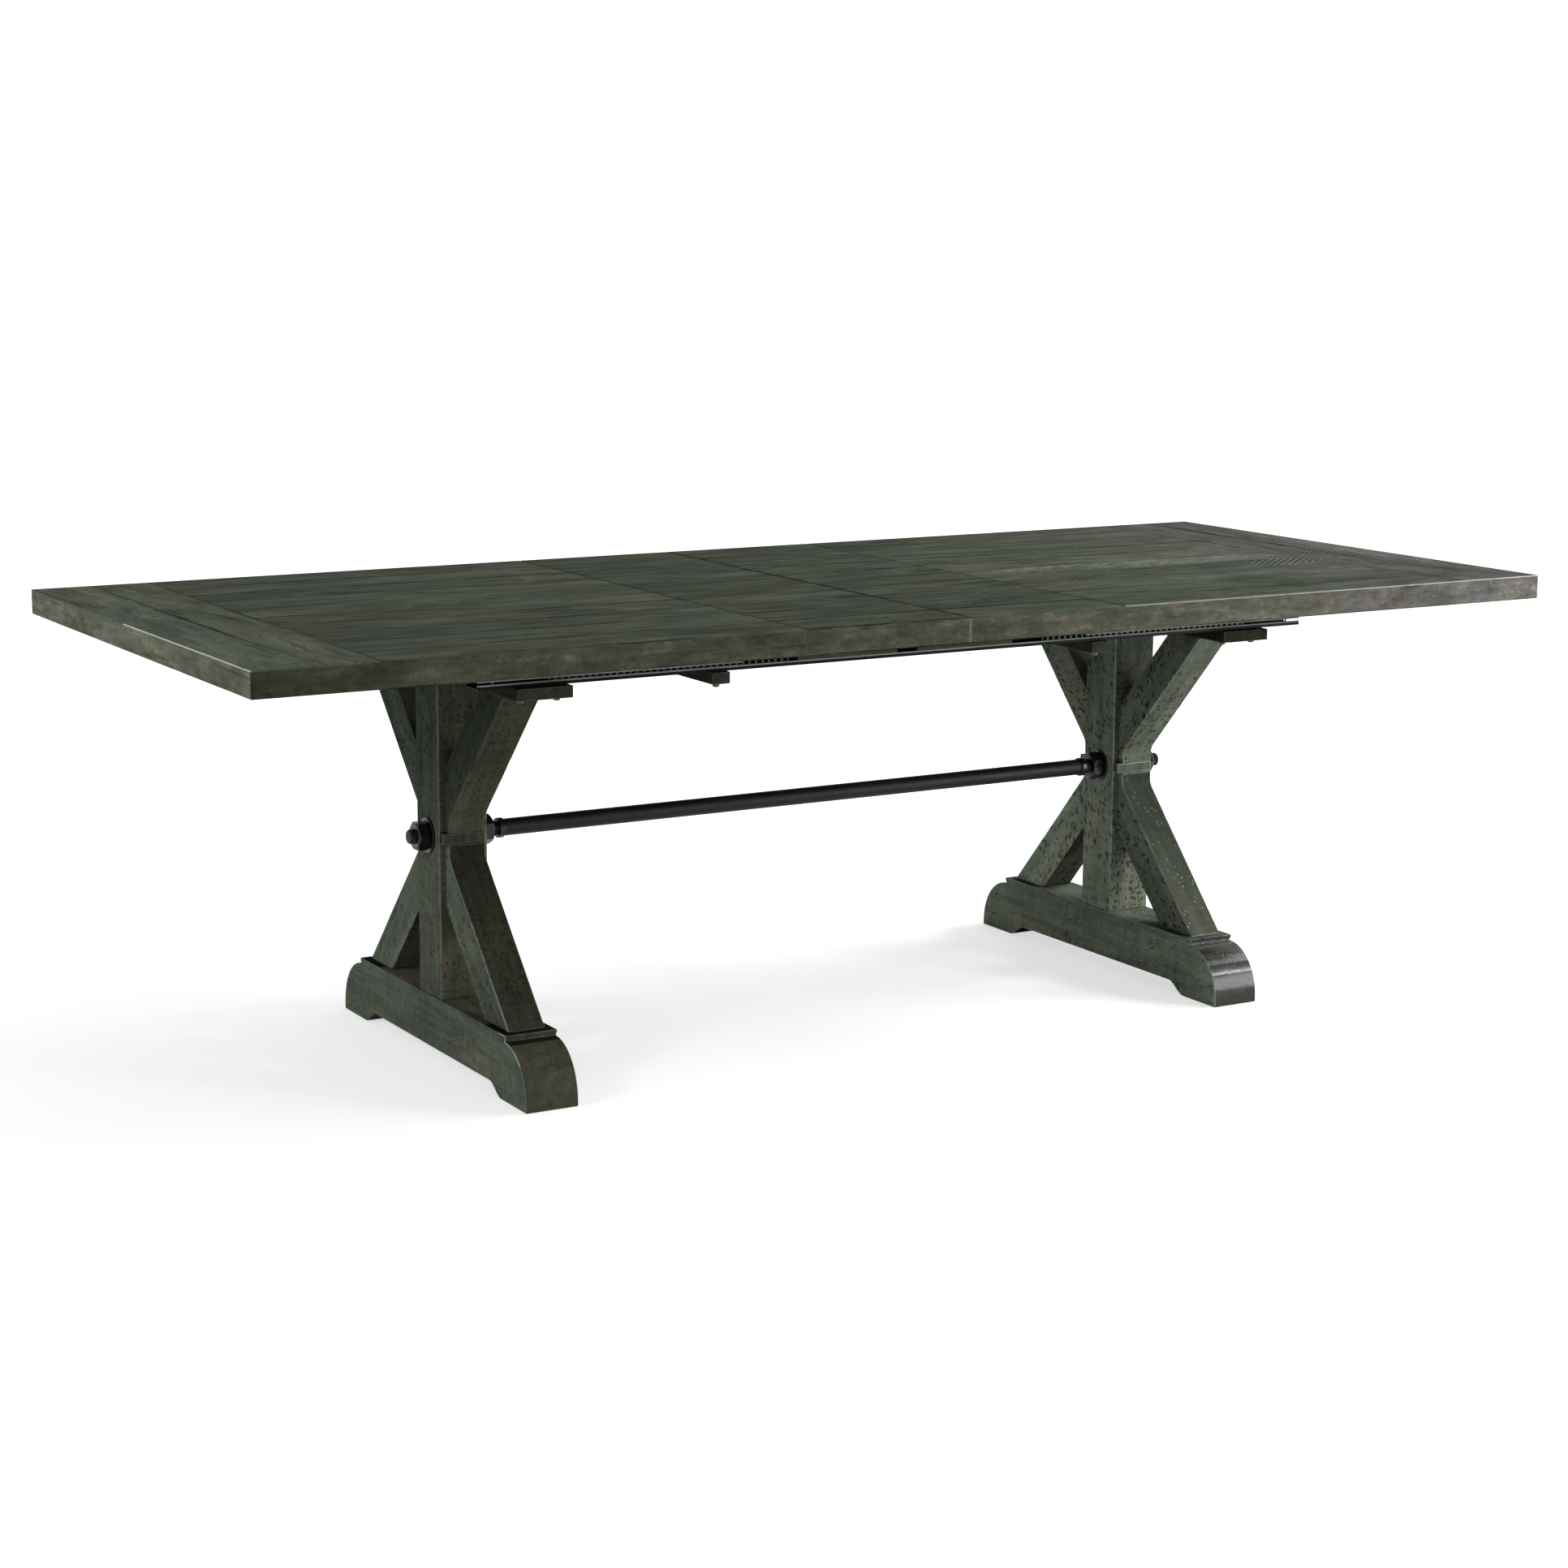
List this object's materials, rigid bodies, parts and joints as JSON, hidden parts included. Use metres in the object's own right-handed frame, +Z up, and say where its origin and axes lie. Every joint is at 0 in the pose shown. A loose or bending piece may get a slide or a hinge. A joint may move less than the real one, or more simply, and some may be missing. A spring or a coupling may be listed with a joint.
{
  "type": "extending dining table",
  "caption": "Rectangular plank-topped extending dining table, shown open, on cross-braced trestles joined by a steel tie rod, with its leaves in place on ball-bearing steel slides.",
  "frame": {"origin": "on the floor, under the middle of the open table top", "axes": "+X along the table's length towards its right end, +Y across it towards the back, +Z up"},
  "size_m": [2.4384, 1.045, 0.762],
  "materials": {
    "top_wood": "weathered grey-green stain, satin",
    "base_wood": "distressed green-grey stain, satin",
    "beam_wood": "dark brown stain, matte",
    "rail_steel": "dark zinc plated",
    "cage_steel": "bright zinc",
    "ball_steel": "polished",
    "rod_steel": "satin black",
    "screw_steel": "zinc plated"
  },
  "bodies": {
    "base": {"foot_left": "base_wood", "foot_right": "base_wood", "post_left": "base_wood", "post_right": "base_wood", "collar_left_front": "base_wood", "collar_left_back": "base_wood", "collar_right_front": "base_wood", "collar_right_back": "base_wood", "lower_brace_left_front": "base_wood", "lower_brace_left_back": "base_wood", "lower_brace_right_front": "base_wood", "lower_brace_right_back": "base_wood", "upper_brace_left_front": "base_wood", "upper_brace_left_back": "base_wood", "upper_brace_right_front": "base_wood", "upper_brace_right_back": "base_wood", "top_beam_left": "beam_wood", "top_beam_right": "beam_wood", "cross_beam_left": "beam_wood", "cross_beam_right": "beam_wood", "tie_rod": "rod_steel", "rod_rings": "rod_steel", "rod_inner_nuts": "rod_steel", "rod_outer_nuts": "rod_steel", "rod_washers": "rod_steel", "lower_rail_front": "rail_steel", "lower_rail_back": "rail_steel", "beam_screws": "screw_steel"},
    "left_half": {"left_planks": "top_wood", "left_inner_end_board": "top_wood", "left_outer_end_board": "top_wood", "left_front_runner": "beam_wood", "left_back_runner": "beam_wood", "left_front_upper_rail": "rail_steel", "left_back_upper_rail": "rail_steel", "left_rail_screws": "screw_steel", "left_stop_pins": "screw_steel"},
    "right_half": {"right_planks": "top_wood", "right_inner_end_board": "top_wood", "right_outer_end_board": "top_wood", "right_front_runner": "beam_wood", "right_back_runner": "beam_wood", "right_front_upper_rail": "rail_steel", "right_back_upper_rail": "rail_steel", "right_rail_screws": "screw_steel", "right_stop_pins": "screw_steel"},
    "leaf_left": {"leaf_left_planks": "top_wood", "leaf_left_front_bearer": "beam_wood", "leaf_left_back_bearer": "beam_wood"},
    "leaf_right": {"leaf_right_planks": "top_wood", "leaf_right_front_bearer": "beam_wood", "leaf_right_back_bearer": "beam_wood"},
    "left_front_cage": {"left_front_cage": "cage_steel", "left_front_balls": "ball_steel"},
    "left_back_cage": {"left_back_cage": "cage_steel", "left_back_balls": "ball_steel"},
    "right_front_cage": {"right_front_cage": "cage_steel", "right_front_balls": "ball_steel"},
    "right_back_cage": {"right_back_cage": "cage_steel", "right_back_balls": "ball_steel"}
  },
  "joints": [
    {"name": "left_half_slide", "type": "slide", "parent": "base", "child": "left_half", "axis": [-1, 0, 0], "range_m": [0, 0.0508]},
    {"name": "left_front_cage_roll", "type": "slide", "parent": "base", "child": "left_front_cage", "axis": [-1, 0, 0], "range_m": [0, 0.0254]},
    {"name": "left_back_cage_roll", "type": "slide", "parent": "base", "child": "left_back_cage", "axis": [-1, 0, 0], "range_m": [0, 0.0254]},
    {"name": "right_half_slide", "type": "slide", "parent": "base", "child": "right_half", "axis": [1, 0, 0], "range_m": [0, 0.0508]},
    {"name": "right_front_cage_roll", "type": "slide", "parent": "base", "child": "right_front_cage", "axis": [1, 0, 0], "range_m": [0, 0.0254]},
    {"name": "right_back_cage_roll", "type": "slide", "parent": "base", "child": "right_back_cage", "axis": [1, 0, 0], "range_m": [0, 0.0254]},
    {"name": "leaf_left_lift", "type": "slide", "parent": "base", "child": "leaf_left", "axis": [0, 0, 1], "range_m": [0, 0.15]},
    {"name": "leaf_right_lift", "type": "slide", "parent": "base", "child": "leaf_right", "axis": [0, 0, 1], "range_m": [0, 0.15]}
  ],
  "couplings": [
    {"joint": "left_front_cage_roll", "follows": "left_half_slide", "ratio": 0.5},
    {"joint": "left_back_cage_roll", "follows": "left_half_slide", "ratio": 0.5},
    {"joint": "right_front_cage_roll", "follows": "right_half_slide", "ratio": 0.5},
    {"joint": "right_back_cage_roll", "follows": "right_half_slide", "ratio": 0.5}
  ]
}
